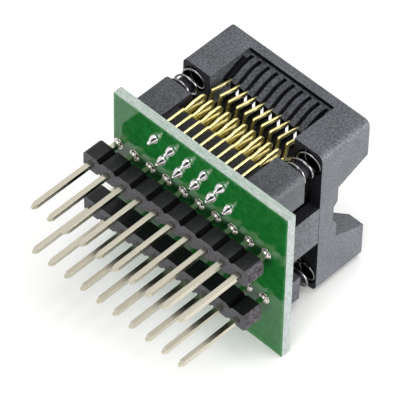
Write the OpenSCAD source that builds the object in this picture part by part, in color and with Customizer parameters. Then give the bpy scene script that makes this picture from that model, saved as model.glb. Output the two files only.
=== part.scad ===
// Adapter board for a small-outline chip: a sprung open-top socket on a board with two rows of DIP pins.
// +X runs along the rows, +Z points from the pins to the socket.
// The origin is the centre of the pin pattern, on the underside of the header plastic.

/* [Pin headers] */
// Pins in each row, and contacts on each side of the socket
pins_per_row = 10; // [8:2:14]
// Distance between neighbouring pins in a row
pin_pitch = 2.54; // [2.4:0.01:2.8]
// Distance between the two rows of pins
row_gap = 7.62; // [6.5:0.01:9]
// Width of a square pin
pin_w = 0.64; // [0.5:0.01:0.75]
// Length of a pin below its plastic strip
pin_free = 9.27; // [6:0.01:12]
// Length of the taper at the tip of a pin
pin_taper = 0.58; // [0.2:0.01:0.9]
// Width of the flat at the tip of a pin
pin_tip_w = 0.28; // [0.15:0.01:0.4]
// How far the head of a pin stays below the top of the board
pin_sunk = 0.05; // [0:0.01:0.4]
// Width of a plastic strip across the row
strip_w = 2.5; // [2:0.01:3]
// Height of a plastic strip
strip_h = 2.54; // [1.5:0.01:4]
// Size of the chamfer at the corners of each cell
cell_chamfer = 0.42; // [0.2:0.01:0.7]
// Space between the plastic strip and the board
strip_standoff = 1.76; // [1.2:0.01:3]

/* [Board] */
// Last pin to the left edge of the board
board_rim_left = 0.77; // [0.7:0.01:3]
// Last pin to the right edge of the board
board_rim_right = 2.97; // [0.7:0.01:6]
// Width of the board across the rows
board_w = 23.4; // [22.5:0.05:30]
// Thickness of the board
board_t = 1.2; // [0.8:0.05:2]
// Play round the corners of a pin in its hole
pin_hole_play = 0.12; // [0.06:0.01:0.3]
// Hole for a contact tail
tail_hole_d = 0.8; // [0.7:0.01:1]

/* [Solder] */
// Radius of a header pin's fillet on the board
pin_solder_r = 0.85; // [0.75:0.01:1.05]
// Solder round the corners of the pin
pin_solder_wrap = 0.05; // [0.02:0.01:0.12]
// Height of the solder on the pin
pin_solder_h = 0.36; // [0.3:0.01:1]
// Radius of a tail's cone on the board
tail_solder_r = 0.64; // [0.56:0.01:0.8]
// Radius of a tail's cone at its tip
tail_solder_tip_r = 0.36; // [0.35:0.01:0.5]
// Height of a tail's cone
tail_solder_h = 0.95; // [0.5:0.01:1.1]

/* [Contacts] */
// Distance between neighbouring contacts
contact_pitch = 1.27; // [1.15:0.01:1.4]
// Thickness of the contact sheet
sheet_t = 0.28; // [0.2:0.01:0.34]
// Width of a contact's spring strip
strip_band = 0.5; // [0.42:0.01:0.54]
// Outer edge of a contact's stem, from the socket's centre
stem_out = 10.57; // [10.4:0.01:10.9]
// Outer row of tails, from the socket's centre
tail_outer = 9.144; // [8.6:0.001:9.5]
// Inner row of tails, from the socket's centre
tail_inner = 6.604; // [6.3:0.001:7]
// Width of a tail
tail_w = 0.5; // [0.4:0.01:0.52]
// Length of a tail below the board
tail_free = 1.15; // [1.1:0.01:1.6]
// Top of the contact's arch above the board
arch_top = 6.85; // [6.4:0.01:7]
// Inner radius of the arch and of the lower bend
bend_r = 0.3; // [0.24:0.01:0.32]
// Middle of the lower bend above the board
loop_low = 2.75; // [2.4:0.01:3.3]
// Height of the stem's shoulder above the board
shoulder_up = 3.35; // [3:0.01:3.6]
// Depth of the notch above the shoulder
notch_in = 0.3; // [0.1:0.01:0.36]
// Height over which the notch runs out
notch_h = 1.5; // [0.8:0.05:2]
// Space left between a contact's stem and the spring strip at the top of the comb teeth
eye_gap = 0.12; // [0.06:0.01:0.3]
// Underside of the bar at the foot of a contact above the board
foot_bar_up = 0.32; // [0.3:0.01:0.6]
// Height of the bar at the foot of a contact
foot_bar_h = 0.6; // [0.4:0.01:0.9]

/* [Levers] */
// Radius of the knuckle on which a lever turns
knuckle_r = 0.34; // [0.28:0.01:0.38]
// Play between a knuckle and its cup
knuckle_play = 0.06; // [0.03:0.01:0.1]
// Wall of the cup round the knuckle
cup_wall = 0.2; // [0.12:0.01:0.24]
// Height of the knuckle's axis above the board
knuckle_up = 6.4; // [6.3:0.01:6.6]
// Width of the lever's strip
lever_band = 0.45; // [0.38:0.01:0.5]
// Height of the lever's root above the knuckle
root_up = 1.05; // [0.95:0.01:1.15]
// Reach of the lever's root inside the knuckle
root_in = 0.17; // [0.1:0.01:0.25]
// Height of the lever's elbow above the knuckle
elbow_up = 1.58; // [1.45:0.01:1.7]
// How far the lever's elbow stays inside the outer edge of the stem
elbow_in = 0.4; // [0.3:0.01:0.5]
// Reach of the lever's tip into the comb of the cover
tip_reach = 0.45; // [0.35:0.01:0.55]
// Space between the lever's tip and the cam at rest
tip_gap = 0.24; // [0.15:0.01:0.3]
// Width of the contact arm
arm_band = 0.4; // [0.34:0.01:0.44]
// Reach of the arm's heel outside the point that presses on the lead
heel_out = 1.95; // [1.8:0.01:2.1]
// Height of the arm's heel above that point
heel_up = 0.48; // [0.4:0.01:0.6]
// Reach of the arm's nose outside the point that presses on the lead
nose_out = 0.65; // [0.5:0.01:0.8]
// Height of the arm's nose above that point
nose_up = 0.72; // [0.5:0.01:0.8]

/* [Chip] */
// Last lead of the chip to the end of its body
chip_end = 0.685; // [0.5:0.005:0.7]
// Width of the chip's body
chip_w = 7.5; // [6.5:0.05:7.6]
// Distance over the tips of the chip's leads
lead_span = 10.3; // [9.9:0.05:10.6]
// Play between the chip and its guides
chip_play = 0.15; // [0.1:0.01:0.2]
// Height of the face that the leads lie on, above the board
seat_up = 8.1; // [7.7:0.01:8.2]
// Space between a lead's seat and a closed contact
seat_gap = 0.12; // [0.06:0.01:0.2]
// Reach of a contact in from the tip of the lead
press_reach = 0.2; // [0.1:0.01:0.3]
// Ledge of the seat past the tips of the leads
seat_rim = 0.35; // [0.2:0.01:0.5]
// Thickness of the seat's ledge
seat_t = 0.8; // [0.5:0.05:1.2]
// Thickness of the guides at the chip's ends
guide_t = 0.35; // [0.25:0.01:0.4]
// Height of the guides above the seat
guide_h = 1.5; // [1:0.05:2]
// Space between a guide and the cover
guide_play = 0.2; // [0.1:0.01:0.3]

/* [Base] */
// Space under the base, on its feet
foot_gap = 0.22; // [0.1:0.01:0.3]
// Size of a foot of the base
foot_size = 1.6; // [1:0.05:2.2]
// Height of the base floor above the board
floor_up = 2; // [1.6:0.05:2.3]
// Height of the comb teeth above the board
tooth_up = 3.6; // [3:0.05:4.2]
// Depth of a comb tooth
tooth_depth = 1.4; // [1:0.05:1.8]
// Rounding at the top of a comb tooth
tooth_round = 0.7; // [0.3:0.05:1]
// How far the comb teeth stay behind the stems
tooth_back = 0.3; // [0.1:0.01:0.4]
// How far the pedestals stand out past the stems
pedestal_proud = 0.18; // [0.05:0.01:0.3]
// Rounding of a comb tooth's edges along its slots
tooth_edge_r = 0.25; // [0.1:0.01:0.4]
// Space between a partition and the contacts beside it
partition_play = 0.2; // [0.14:0.01:0.3]
// Space between a partition and the cover
partition_gap = 0.19; // [0.12:0.01:0.22]
// How far the partitions reach above the foot of the cover's comb
partition_over = 0.2; // [0:0.01:0.25]
// Play of a contact in its slot
slot_play = 0.04; // [0.02:0.01:0.08]
// Last contact to the end of the base
base_end = 5.04; // [5:0.01:5.6]
// Length of a corner pedestal along the rows
pedestal_l = 4.15; // [4:0.01:4.3]
// Depth of a corner pedestal across the rows
pedestal_w = 4.4; // [3.9:0.01:5]
// Height of a corner pedestal above the board
pedestal_up = 5.4; // [5.2:0.01:5.8]
// Rounding of the pedestals' outer edges
pedestal_r = 0.9; // [0.3:0.05:1.5]
// Thickness of the end wall that carries the catch
end_wall_t = 1.6; // [1.2:0.05:1.8]

/* [Cover springs] */
// Mean diameter of a coil spring
coil_d = 2.9; // [2.6:0.05:3]
// Thickness of the spring wire
wire_d = 0.28; // [0.2:0.01:0.34]
// Open turns of a coil spring
coil_turns = 5; // [4:1:7]
// Rise of a flat end turn, as a share of the wire
end_turn = 1.05; // [1.02:0.01:1.2]
// Space between a spring and the faces it presses on
seat_play = 0.03; // [0.02:0.01:0.06]
// Spring axis from the ends of the base
spring_inset = 1.93; // [1.9:0.01:2.1]
// Spring axis from the long faces of the base
spring_inset_w = 1.5; // [1.4:0.01:1.9]
// Space between a spring and the post inside it
post_play = 0.21; // [0.12:0.01:0.4]
// Height of the post inside a spring
post_h = 1.6; // [0.8:0.05:2.2]

/* [Cover] */
// Travel of the cover
stroke = 2.5; // [1.8:0.05:2.5]
// Space left under the pressed cover
press_gap = 0.33; // [0.2:0.01:0.6]
// Height of the cover
cover_h = 7.65; // [7.4:0.05:8.4]
// How far the cover stands out past the base across the rows
cover_over = 0.65; // [0.55:0.01:0.8]
// How far the cover's ends stay inside the ends of the base
cover_in = 0.08; // [0.02:0.01:0.12]
// Rounding of the cover's upright edges
cover_r = 0.8; // [0.3:0.05:1.2]
// Last contact to the end of the comb window
window_end = 0.75; // [0.65:0.01:0.85]
// Height of the bar above the comb window
window_bar = 1.27; // [1:0.01:1.5]
// Depth of the comb behind the face of the cover
comb_depth = 0.6; // [0.5:0.01:0.7]
// Height of the upright part of the comb
comb_upright = 1.71; // [1.5:0.01:1.9]
// Height of the sloping part of the comb
comb_slope_h = 2.4; // [2.2:0.01:2.6]
// How far the sloping part of the comb leans in
comb_slope = 1.15; // [1.05:0.01:1.2]
// Radius of the bend between the upright and the sloping part
comb_bend_r = 3; // [1:0.1:4]
// Depth of a comb groove
groove_depth = 1.1; // [1.05:0.01:1.2]
// Play of a lever in its groove
groove_play = 0.1; // [0.06:0.01:0.16]
// Distance of the grooves from the top of the window
groove_end = 0.3; // [0.1:0.01:0.6]
// Thickness of the comb behind the grooves at its root
cam_t = 0.6; // [0.4:0.01:0.7]
// Thickness of the comb behind the grooves at its foot
cam_foot_t = 0.26; // [0.2:0.01:0.3]
// Height of the foot of the comb that is cut away under the cams
cam_foot = 0.6; // [0.4:0.01:0.8]
// Opening over the chip, outside the tips of its leads
mouth_play = 0.95; // [0.8:0.01:1.1]
// Lip of the cover at the edge of the opening
lip_t = 0.6; // [0.4:0.01:0.9]
// Height of the lip's underside above the cover's underside
lip_up = 5.2; // [5:0.01:5.4]
// Width of the sloping lead-in along the opening
mouth_slope = 2.5; // [1.5:0.05:2.7]
// Width of the lead-in at the ends
mouth_slope_end = 1.4; // [0.8:0.05:1.7]
// Depth of a spring pocket
pocket_depth = 4.4; // [3.6:0.05:5]
// Play of a coil spring in its pocket
pocket_play = 0.1; // [0.06:0.01:0.14]
// Half width of the end notch at the top
notch_top = 6; // [5.2:0.05:6.4]
// Half width of the end notch at its floor
notch_floor = 4.15; // [3.4:0.05:4.8]
// Height of the end notch's floor above the cover's underside
notch_up = 2.95; // [2.7:0.05:3.6]
// Half width of the dip in the middle of the end notch
dip_half = 1.87; // [1.2:0.05:2.6]
// Depth of the dip in the middle of the end notch
dip_depth = 0.6; // [0.3:0.05:0.8]
// Thickness of the wall between that hollow and the opening over the chip
hollow_wall = 0.7; // [0.5:0.05:1]
// Thickness left above the hollow under the cover's end
hollow_roof = 0.8; // [0.6:0.05:1]
// Space from a pedestal's side to the side of that hollow
hollow_play = 0.2; // [0.05:0.05:0.6]

/* [Guide legs] */
// Width of a guide leg
leg_w = 6; // [4:0.05:7]
// Thickness of a guide leg
leg_t = 1.5; // [1.2:0.05:1.6]
// Step between the cover's end and the leg
leg_step = 0.04; // [0.02:0.01:0.1]
// Space between the pressed leg and the board
leg_gap = 0.5; // [0.3:0.05:0.8]
// Reach of the hook at the foot of the leg
hook_reach = 0.55; // [0.3:0.05:0.7]
// Height of the hook
hook_h = 0.8; // [0.5:0.05:1]
// Height of the upright face at the hook's point
hook_face = 0.32; // [0.2:0.01:0.4]
// Running play of the leg in the base
leg_play = 0.15; // [0.1:0.01:0.2]

/* [Hidden] */
$fn = 32;
// Overrun of a cut, or of a joined piece, past the face it meets
over = 1;
// Space round a pin or a tail in its plastic or solder
fit = 0.02;
// Overlap of faces that are joined edge to edge
join = 0.01;
// Steps in the bend of the comb, along a spring's turn and round its wire
bend_steps = 6;
turn_steps = 12;
wire_sides = 6;

sides = ["front", "rear"];
ends = ["left", "right"];
numbers = [for (i = [1 : pins_per_row]) i];
contact_names = [for (s = sides, i = numbers) str("contact_", s, "_", i)];
lever_names = [for (s = sides, i = numbers) str("lever_", s, "_", i)];
spring_names = [for (s = sides, e = ends) str("cover_spring_", s, "_", e)];

// Levels along Z; heights in the socket are measured from the top of the board
board_z = strip_h + strip_standoff;
top_z = board_z + board_t;
cover_low = pedestal_up + press_gap + stroke;
cover_top = cover_low + cover_h;
pocket_top = cover_low + pocket_depth;
leg_low = stroke + leg_gap;

// Layout along X
half_pins = (pins_per_row - 1) / 2 * pin_pitch;
half_row = (pins_per_row - 1) / 2 * contact_pitch;
base_x = half_row + base_end;
cover_x = base_x - cover_in;
spring_x = base_x - spring_inset;
window_x = half_row + window_end;
leg_out = cover_x - leg_step;
leg_in = leg_out - leg_t;
wall_out = leg_in - leg_play;
wall_in = wall_out - end_wall_t;
nest_x = half_row + chip_end + chip_play + guide_t;
mouth_x = nest_x + guide_play;

// Layout across the rows, measured outwards from the middle
base_y = stem_out + pedestal_proud;
tooth_y = stem_out - tooth_back;
cover_y = base_y + cover_over;
spring_y = base_y - spring_inset_w;
nest_y = lead_span / 2 + seat_rim;
neck_y = chip_w / 2 + seat_rim;
mouth_y = lead_span / 2 + mouth_play;

// Comb of the cover, with the cams at the bottom of its grooves
window_top = cover_top - window_bar;
comb_bend = window_top - comb_upright;
comb_foot = comb_bend - comb_slope_h;
lip_low = cover_low + lip_up;
lean = comb_slope / comb_slope_h;
comb_y = cover_y - comb_depth;
cam_y = comb_y - groove_depth;
cam_foot_y = cam_y - comb_slope;
cam_root_y = cam_y - lean * max(0, comb_bend - lip_low);

// Partitions between the contacts, kept clear of the comb and of the pressed lip
partition_t = contact_pitch - sheet_t - 2 * partition_play;
partition_in = mouth_y + partition_gap;
partition_out = cam_foot_y - cam_foot_t - partition_gap;
partition_top = min(comb_foot + partition_over, lip_low - stroke - partition_gap);

// Bends of the contact's spring strip and turning points of the lever
arch_y = stem_out - strip_band - bend_r;
arch_z = arch_top - strip_band - bend_r;
loop_y = arch_y - 2 * bend_r - strip_band;
pivot = [loop_y - bend_r - strip_band / 2, knuckle_up];
root = pivot + [-root_in, root_up];
elbow = [stem_out - elbow_in - lever_band / 2, knuckle_up + elbow_up];
tip_y = cam_foot_y + lean * tip_reach + (lever_band / 2 + tip_gap) * norm([1, lean]);
tip = [tip_y, comb_foot + tip_reach];

// Holes and slots that follow what goes through them
pin_hole_d = pin_w * sqrt(2) + pin_hole_play;
pin_slot = pin_w + 2 * fit;
pin_solder_neck = pin_slot / sqrt(2) + pin_solder_wrap;
contact_slot_w = sheet_t + 2 * slot_play;
groove_w = sheet_t + 2 * groove_play;
post_d = coil_d - wire_d - 2 * post_play;
pocket_d = coil_d + wire_d + 2 * pocket_play;

// Position of pin or contact number i in a row of the given pitch
function row_x(i, pitch) = (i - (pins_per_row + 1) / 2) * pitch;

// Tails stand in two staggered rows
function tail_y(i) = i % 2 == 1 ? tail_outer : tail_inner;

// Draws for the side at +Y, or turned over to -Y for the front
module on_side(s) {
    mirror([0, s == "front" ? 1 : 0, 0]) children();
}

// Draws for the end at +X, or turned over to -X for the left
module on_end(e) {
    mirror([e == "left" ? 1 : 0, 0, 0]) children();
}

// Raises from the board's top face
module on_board() {
    translate([0, 0, top_z]) children();
}

// Turns a profile of (distance from the middle, height) upright, with its thickness along X
module across(t) {
    rotate([90, 0, 90]) linear_extrude(t, center = true) children();
}

// Turns a profile of (distance along the row, height) upright, with its thickness along Y
module along(t) {
    rotate([90, 0, 0]) linear_extrude(t, center = true) children();
}

// Rectangle with round corners
module round_rect(l, w, r) {
    square([l - 2 * r, w], center = true);
    square([l, w - 2 * r], center = true);
    for (x = [-1, 1], y = [-1, 1])
        translate([x * (l / 2 - r), y * (w / 2 - r)]) circle(r);
}

// Strip of even width along a path of points, with round elbows and ends
module strip_along(points, w) {
    for (i = [0 : len(points) - 2]) {
        run = points[i + 1] - points[i];
        translate(points[i]) rotate(atan2(run[1], run[0])) translate([0, -w / 2]) square([norm(run), w]);
    }
    for (p = points) translate(p) circle(w / 2);
}

// Half ring: the upper half of a round bend, or the lower half when up is -1
module half_ring(r_in, r_out, up) {
    intersection() {
        difference() {
            circle(r_out);
            circle(r_in);
        }
        translate([-r_out, up > 0 ? 0 : -r_out]) square([2 * r_out, r_out]);
    }
}

// Board

module circuit_board() {
    length = board_rim_left + 2 * half_pins + board_rim_right;
    color("seagreen") difference() {
        translate([-half_pins - board_rim_left, -board_w / 2, board_z]) cube([length, board_w, board_t]);
        for (i = numbers, s = sides) on_side(s) {
            translate([row_x(i, pin_pitch), row_gap / 2, board_z - over])
                cylinder(d = pin_hole_d, h = board_t + 2 * over);
            translate([row_x(i, contact_pitch), tail_y(i), board_z - over])
                cylinder(d = tail_hole_d, h = board_t + 2 * over);
        }
    }
}

// Headers, drawn for the row at +Y and turned over for the front

module header_strip() {
    color("black") for (i = numbers) translate([row_x(i, pin_pitch), row_gap / 2, 0]) difference() {
        linear_extrude(strip_h) cell();
        translate([0, 0, strip_h / 2]) cube([pin_slot, pin_slot, strip_h + over], center = true);
    }
}

// One cell of a strip: a square with its corners cut
module cell() {
    c = cell_chamfer;
    l = pin_pitch / 2;
    w = strip_w / 2;
    polygon([[-l, -w + c], [-l + c, -w], [l - c, -w], [l, -w + c],
             [l, w - c], [l - c, w], [-l + c, w], [-l, w - c]]);
}

module header_pins() {
    color("wheat") for (i = numbers) translate([row_x(i, pin_pitch), row_gap / 2, 0]) intersection() {
        along(pin_w) pin_profile();
        across(pin_w) pin_profile();
    }
}

// Side view of a pin with its tapered tip
module pin_profile() {
    tip_half = pin_tip_w / 2;
    half = pin_w / 2;
    low = -pin_free;
    high = top_z - pin_sunk;
    polygon([[-tip_half, low], [tip_half, low], [half, low + pin_taper], [half, high],
             [-half, high], [-half, low + pin_taper]]);
}

module header_solder() {
    color("silver") for (i = numbers) translate([row_x(i, pin_pitch), row_gap / 2, board_z]) difference() {
        rotate_extrude() pin_fillet();
        cube([pin_slot, pin_slot, 2 * (pin_solder_h + over)], center = true);
    }
}

// Hollow-sided fillet that climbs from the board down the pin
module pin_fillet() {
    hollow = pin_solder_r - pin_solder_neck;
    difference() {
        translate([0, -hollow]) square([pin_solder_r, hollow]);
        translate([pin_solder_r, -hollow]) circle(hollow);
    }
    translate([0, -pin_solder_h]) square([pin_solder_neck, pin_solder_h]);
}

module tail_solder() {
    color("silver") for (i = numbers) translate([row_x(i, contact_pitch), tail_y(i), board_z]) difference() {
        mirror([0, 0, 1]) cylinder(r1 = tail_solder_r, r2 = tail_solder_tip_r, h = tail_solder_h);
        cube([sheet_t + 2 * fit, tail_w + 2 * fit, 2 * (tail_solder_h + over)], center = true);
    }
}

// Contacts, drawn for the side at +Y and turned over for the front

module contact(i) {
    tail = tail_y(i) - tail_w / 2;
    low = -board_t - tail_free;
    color("gold") on_board() translate([row_x(i, contact_pitch), 0, 0]) across(sheet_t) {
        translate([tail, low]) square([tail_w, foot_bar_up + foot_bar_h - low]);
        translate([tail, foot_bar_up]) square([stem_out - tail, foot_bar_h]);
        stem();
        translate([arch_y, arch_z]) half_ring(bend_r, bend_r + strip_band, 1);
        return_leg();
        translate([loop_y, loop_low]) half_ring(bend_r, bend_r + strip_band, -1);
        knuckle_cup();
    }
}

// Outer leg of the contact, with a notch above the shoulder that stands in the comb
module stem() {
    polygon([[stem_out - strip_band, foot_bar_up], [stem_out, foot_bar_up], [stem_out, shoulder_up],
             [stem_out - notch_in, shoulder_up], [stem_out, shoulder_up + notch_h], [stem_out, arch_z],
             [stem_out - strip_band, arch_z]]);
}

// Spring strip between the arch and the lower bend, widest at the top of the comb teeth
module return_leg() {
    inner = arch_y - bend_r - strip_band;
    outer = arch_y - bend_r;
    wide = stem_out - strip_band - eye_gap;
    polygon([[inner, loop_low], [outer, loop_low], [wide, tooth_up], [outer, arch_z], [inner, arch_z]]);
}

// Rising end of the spring strip with the half-round cup that the knuckle turns in
module knuckle_cup() {
    r = knuckle_r + knuckle_play;
    difference() {
        union() {
            translate([loop_y - bend_r - strip_band, loop_low]) square([strip_band, knuckle_up - loop_low]);
            translate(pivot) half_ring(r, r + cup_wall, -1);
        }
        translate(pivot) circle(r);
    }
}

module lever(i) {
    color("goldenrod") on_board() translate([row_x(i, contact_pitch), 0, 0]) across(sheet_t) {
        translate(pivot) circle(knuckle_r);
        strip_along([pivot, root, elbow, tip], lever_band);
        contact_arm();
    }
}

// Arm that reaches over the lead and presses on it
module contact_arm() {
    press = [lead_span / 2 - press_reach, seat_up + seat_gap + arm_band / 2];
    strip_along([root, press + [heel_out, heel_up], press + [nose_out, nose_up], press], arm_band);
}

// Socket base

module socket_base() {
    color([0.16, 0.16, 0.17]) on_board() difference() {
        union() {
            base_floor();
            for (e = ends) on_end(e) base_end_wall();
            for (s = sides, e = ends) on_side(s) on_end(e) pedestal();
            for (s = sides) on_side(s) {
                comb_teeth();
                for (i = [1 : pins_per_row - 1]) translate([row_x(i + 0.5, contact_pitch), 0, 0]) partition();
            }
        }
        for (i = numbers, s = sides) on_side(s) translate([row_x(i, contact_pitch), 0, 0]) contact_slot();
        for (e = ends) on_end(e) leg_way();
        for (s = sides) on_side(s) comb_recess();
    }
}

module base_floor() {
    translate([0, 0, foot_gap]) linear_extrude(floor_up - foot_gap) base_outline();
    for (s = sides, e = ends) on_side(s) on_end(e)
        translate([base_x - 3 / 2 * foot_size, base_y - 3 / 2 * foot_size, 0])
            cube([foot_size, foot_size, floor_up]);
}

module base_outline() {
    round_rect(2 * base_x, 2 * base_y, pedestal_r);
}

// Corner pedestal with the post that holds the foot of a spring
module pedestal() {
    intersection() {
        translate([0, 0, foot_gap]) linear_extrude(pedestal_up - foot_gap) base_outline();
        translate([base_x - pedestal_l, base_y - pedestal_w, 0]) cube([pedestal_l, pedestal_w, pedestal_up]);
    }
    translate([spring_x, spring_y, pedestal_up - over]) cylinder(d = post_d, h = post_h + over);
}

// Wall at the end of the base, with the ledge that the cover's hook catches under
module base_end_wall() {
    half = base_y - pedestal_w + over;
    translate([wall_in, -half, foot_gap]) cube([end_wall_t, 2 * half, pedestal_up - foot_gap]);
}

// Way of the guide leg and its hook through the floor and the foot of the end wall
module leg_way() {
    half = leg_w / 2 + leg_play;
    hook_in = wall_out - hook_reach - leg_play;
    catch_low = leg_low + hook_h + leg_play;
    translate([wall_out, -half, -over]) cube([base_x, 2 * half, pedestal_up + 2 * over]);
    translate([hook_in, -half, -over]) cube([base_x, 2 * half, catch_low + over]);
}

// Recess between the pedestals that leaves the stems standing out of the comb
module comb_recess() {
    half = base_x - pedestal_l;
    translate([-half, tooth_y, -over]) cube([2 * half, base_y, pedestal_up + 2 * over]);
}

// Row of teeth along a side, rounded at the top
module comb_teeth() {
    difference() {
        across(2 * (base_x - pedestal_l + over)) difference() {
            translate([tooth_y - tooth_depth, foot_gap]) square([tooth_depth, tooth_up - foot_gap]);
            translate([tooth_y - tooth_round, tooth_up - tooth_round]) difference() {
                square(tooth_round + over);
                circle(tooth_round);
            }
        }
        for (i = numbers) translate([row_x(i, contact_pitch), tooth_y, 0]) along(2 * (tooth_depth + over)) tooth_edges();
    }
}

// Cut that rounds the edges of the two teeth beside a slot
module tooth_edges() {
    half = contact_slot_w / 2 + tooth_edge_r;
    low = tooth_up - tooth_edge_r;
    difference() {
        translate([-half, low]) square([2 * half, tooth_edge_r + over]);
        for (x = [-half, half]) translate([x, low]) circle(tooth_edge_r);
    }
}

// Partition between two contacts
module partition() {
    translate([-partition_t / 2, partition_in, foot_gap])
        cube([partition_t, partition_out - partition_in, partition_top - foot_gap]);
}

// Slot that a contact stands in, open towards the side and the board
module contact_slot() {
    low = tail_inner - tail_w / 2 - slot_play;
    translate([-contact_slot_w / 2, low, -over])
        cube([contact_slot_w, base_y - low + over, pedestal_up + over]);
}

// Nest

module chip_nest() {
    ledge_low = seat_up - seat_t;
    flare_low = ledge_low - (nest_y - neck_y);
    color([0.2, 0.2, 0.21]) on_board() {
        across(2 * nest_x) polygon([
            [-neck_y, floor_up], [neck_y, floor_up], [neck_y, flare_low], [nest_y, ledge_low],
            [nest_y, seat_up], [-nest_y, seat_up], [-nest_y, ledge_low], [-neck_y, flare_low]]);
        for (e = ends) on_end(e) chip_guide();
    }
}

// Upright guide at the end of the chip, with its top edge sloping away from the chip
module chip_guide() {
    low = seat_up - seat_t;
    high = seat_up + guide_h;
    along(chip_w) polygon([
        [nest_x - guide_t, low], [nest_x, low], [nest_x, high],
        [nest_x - guide_t / 3, high], [nest_x - guide_t, high - 2 * guide_t]]);
}

// Cover

module press_cover() {
    color([0.24, 0.24, 0.25]) on_board() {
        for (s = sides) on_side(s) comb_bar();
        for (e = ends) on_end(e) {
            cover_end();
            guide_leg();
        }
    }
}

// Face of the comb that is upright at y and then bends round to the slope, from the top down
function bend_line(y) = let (turn = atan(lean), top = comb_bend + comb_bend_r * tan(turn / 2))
    [for (k = [0 : bend_steps]) let (a = turn * k / bend_steps)
        [y - comb_bend_r * (1 - cos(a)), top - comb_bend_r * sin(a)]];

// Long side of the cover: top bar, lead-in and comb with a groove for each lever
module comb_bar() {
    difference() {
        across(2 * (window_x + join)) polygon(concat(
            [[cover_y, cover_top], [cover_y, window_top], [comb_y, window_top]],
            bend_line(comb_y),
            [[comb_y - comb_slope, comb_foot], [cam_foot_y - cam_foot_t, comb_foot],
             [cam_root_y - cam_t, lip_low], [mouth_y, lip_low], [mouth_y, lip_low + lip_t],
             [mouth_y + mouth_slope, cover_top]]));
        for (i = numbers) translate([row_x(i, contact_pitch), 0, 0]) across(groove_w) groove();
    }
}

// Groove in the comb: its floor is the cam that pushes the lever outwards
module groove() {
    out = cover_y + over;
    high = window_top - groove_end;
    foot = comb_foot + cam_foot;
    polygon(concat(
        [[out, high], [cam_y, high]],
        bend_line(cam_y),
        [[cam_foot_y + lean * cam_foot, foot], [mouth_y, foot], [mouth_y, comb_foot - over],
         [out, comb_foot - over]]));
}

// End of the cover with its two spring pockets and the notch in its top edge
module cover_end() {
    difference() {
        intersection() {
            translate([0, 0, cover_low]) linear_extrude(cover_h)
                round_rect(2 * cover_x, 2 * cover_y, cover_r);
            translate([window_x, -cover_y, cover_low]) cube([cover_x, 2 * cover_y, cover_h]);
        }
        end_mouth();
        end_hollow();
        end_notch();
        for (s = sides) on_side(s) translate([spring_x, spring_y, cover_low - over])
            cylinder(d = pocket_d, h = pocket_depth + over);
    }
}

// Opening over the chip with its sloping lead-in, as far as it reaches into the end
module end_mouth() {
    lip_top = lip_low + lip_t;
    slope_x = mouth_x + mouth_slope_end;
    slope_y = mouth_y + mouth_slope;
    high = cover_top + over;
    translate([-mouth_x, -mouth_y, cover_low - over]) cube([2 * mouth_x, 2 * mouth_y, cover_h + 2 * over]);
    intersection() {
        along(2 * cover_y) polygon([
            [-mouth_x, lip_top], [mouth_x, lip_top], [slope_x, cover_top],
            [slope_x, high], [-mouth_x, high]]);
        across(2 * cover_x) polygon([
            [-mouth_y, lip_top], [mouth_y, lip_top], [slope_y, cover_top], [slope_y, high],
            [-slope_y, high], [-slope_y, cover_top]]);
    }
}

// Hollow under the end, between the spring pockets and behind the leg
module end_hollow() {
    half = base_y - pedestal_w + hollow_play;
    roof = notch_up - dip_depth - hollow_roof;
    inner = mouth_x + hollow_wall;
    translate([inner, -half, cover_low - over]) cube([leg_in - inner, 2 * half, roof + over]);
}

// Wide notch with sloping sides and a shallow dip in the middle of its floor
module end_notch() {
    floor_z = cover_low + notch_up;
    dip_z = floor_z - dip_depth;
    dip_floor = dip_half - dip_depth;
    across(2 * (cover_x + over)) polygon([
        [-notch_top, cover_top + join], [-notch_floor, floor_z], [-dip_half, floor_z], [-dip_floor, dip_z],
        [dip_floor, dip_z], [dip_half, floor_z], [notch_floor, floor_z], [notch_top, cover_top + join]]);
}

// Leg under the cover's end that slides in the base, with the hook that holds the cover down
module guide_leg() {
    hook_x = leg_in - hook_reach;
    hook_top = leg_low + hook_h;
    translate([leg_in, -leg_w / 2, leg_low]) cube([leg_t, leg_w, cover_low + over - leg_low]);
    along(leg_w) polygon([
        [leg_in + join, leg_low], [leg_in + join, hook_top], [hook_x, hook_top],
        [hook_x, hook_top - hook_face], [leg_in - hook_reach / 3, leg_low]]);
}

// Coil springs

// Height of the wire's middle after a number of turns: flat end turns, open turns between
function coil_z(turn, flat, pitch) =
    turn < 1 ? turn * flat
    : turn < coil_turns + 1 ? flat + (turn - 1) * pitch
    : (turn - coil_turns) * flat + coil_turns * pitch;

// Point on the wire after a number of turns, at angle b round the wire
function coil_point(turn, b, flat, pitch) = let (r = coil_d / 2 + wire_d / 2 * cos(b), a = turn * 360)
    [r * cos(a), r * sin(a), coil_z(turn, flat, pitch) + wire_d / 2 * sin(b)];

module coil_spring() {
    n = wire_sides;
    rings = (coil_turns + 2) * turn_steps;
    flat = wire_d * end_turn;
    length = pocket_top - pedestal_up - wire_d - 2 * seat_play;
    pitch = (length - 2 * flat) / coil_turns;
    points = [for (k = [0 : rings], j = [0 : n - 1]) coil_point(k / turn_steps, j * 360 / n, flat, pitch)];
    walls = [for (k = [0 : rings - 1], j = [0 : n - 1]) let (a = k * n, next = (j + 1) % n)
        [a + j, a + next, a + n + next, a + n + j]];
    first_cap = [for (j = [0 : n - 1]) n - 1 - j];
    last_cap = [for (j = [0 : n - 1]) rings * n + j];
    color("gainsboro") on_board() translate([spring_x, spring_y, pedestal_up + wire_d / 2 + seat_play])
        polyhedron(points, concat(walls, [first_cap, last_cap]), convexity = 10);
}

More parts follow.
